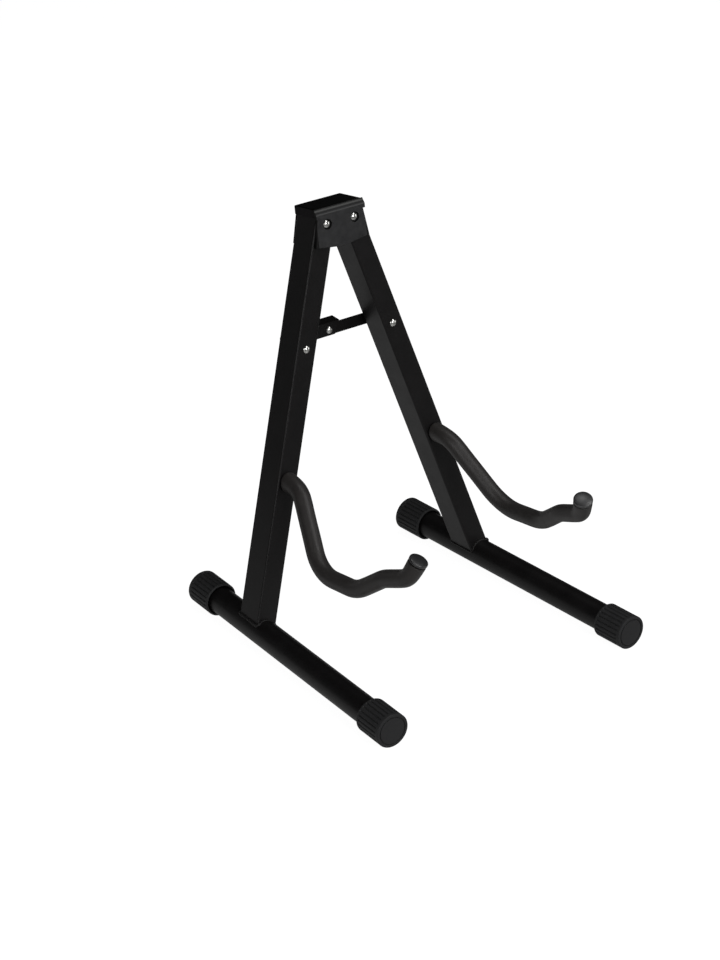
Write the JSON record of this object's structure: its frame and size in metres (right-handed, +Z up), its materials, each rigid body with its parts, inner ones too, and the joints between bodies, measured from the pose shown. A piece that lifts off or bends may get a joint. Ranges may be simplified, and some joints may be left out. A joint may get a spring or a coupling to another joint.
{
  "type": "guitar stand",
  "caption": "Folding A-frame floor stand with tube legs on a hinge head, foam-sleeved cradle arms and a folding strut, for holding a guitar upright.",
  "frame": {"origin": "on the floor, in the middle of the four feet", "axes": "+X to the stand's right seen from the front, +Y to the back, +Z up"},
  "size_m": [0.3036, 0.306, 0.3808],
  "materials": {
    "black_coated_steel": "black powder coat, semi-gloss",
    "rivet_steel": "bright plated steel",
    "moulded_plastic": "black moulded, smooth",
    "plate_plastic": "charcoal moulded, fine texture",
    "cap_rubber": "black moulded rubber",
    "sleeve_foam": "black closed-cell foam"
  },
  "bodies": {
    "hinge_head": {"hinge_housing": "moulded_plastic", "hinge_front_plate": "plate_plastic", "left_hinge_rivet": "rivet_steel", "right_hinge_rivet": "rivet_steel"},
    "left_link": {"left_strut_link": "black_coated_steel", "strut_center_rivet": "rivet_steel"},
    "right_link": {"right_strut_link": "black_coated_steel", "right_strut_rivet_tail": "rivet_steel"},
    "left_leg": {"left_leg_tube": "black_coated_steel", "left_foot_tube": "black_coated_steel", "left_front_cap": "cap_rubber", "left_rear_cap": "cap_rubber", "left_arm_rod": "black_coated_steel", "left_arm_sleeve": "sleeve_foam", "left_arm_tip": "moulded_plastic", "left_strut_rivet": "rivet_steel", "left_strut_spacer": "black_coated_steel"},
    "right_leg": {"right_leg_tube": "black_coated_steel", "right_foot_tube": "black_coated_steel", "right_front_cap": "cap_rubber", "right_rear_cap": "cap_rubber", "right_arm_rod": "black_coated_steel", "right_arm_sleeve": "sleeve_foam", "right_arm_tip": "moulded_plastic", "right_strut_rivet": "rivet_steel", "right_strut_spacer": "black_coated_steel"}
  },
  "joints": [
    {"name": "left_leg_fold", "type": "hinge", "parent": "hinge_head", "child": "left_leg", "pos_m": [-0.015, 0.11582, 0.36363], "axis": [0, -0.9874, 0.1582], "range_deg": [0, 17.21]},
    {"name": "right_leg_fold", "type": "hinge", "parent": "hinge_head", "child": "right_leg", "pos_m": [0.015, 0.11582, 0.36363], "axis": [0, -0.9874, 0.1582], "range_deg": [-17.21, 0]},
    {"name": "left_link_fold", "type": "hinge", "parent": "left_leg", "child": "left_link", "pos_m": [-0.04849, 0.11669, 0.25526], "axis": [0, -0.9874, 0.1582], "range_deg": [0, 54.34]},
    {"name": "right_link_fold", "type": "hinge", "parent": "left_link", "child": "right_link", "pos_m": [0, 0.11669, 0.25526], "axis": [0, -0.9874, 0.1582], "range_deg": [-143.08, 0]}
  ],
  "couplings": [
    {"joint": "right_leg_fold", "follows": "left_leg_fold", "ratio": -1},
    {"joint": "left_link_fold", "follows": "left_leg_fold", "ratio": 3.1562},
    {"joint": "right_link_fold", "follows": "left_leg_fold", "ratio": -8.3124}
  ]
}
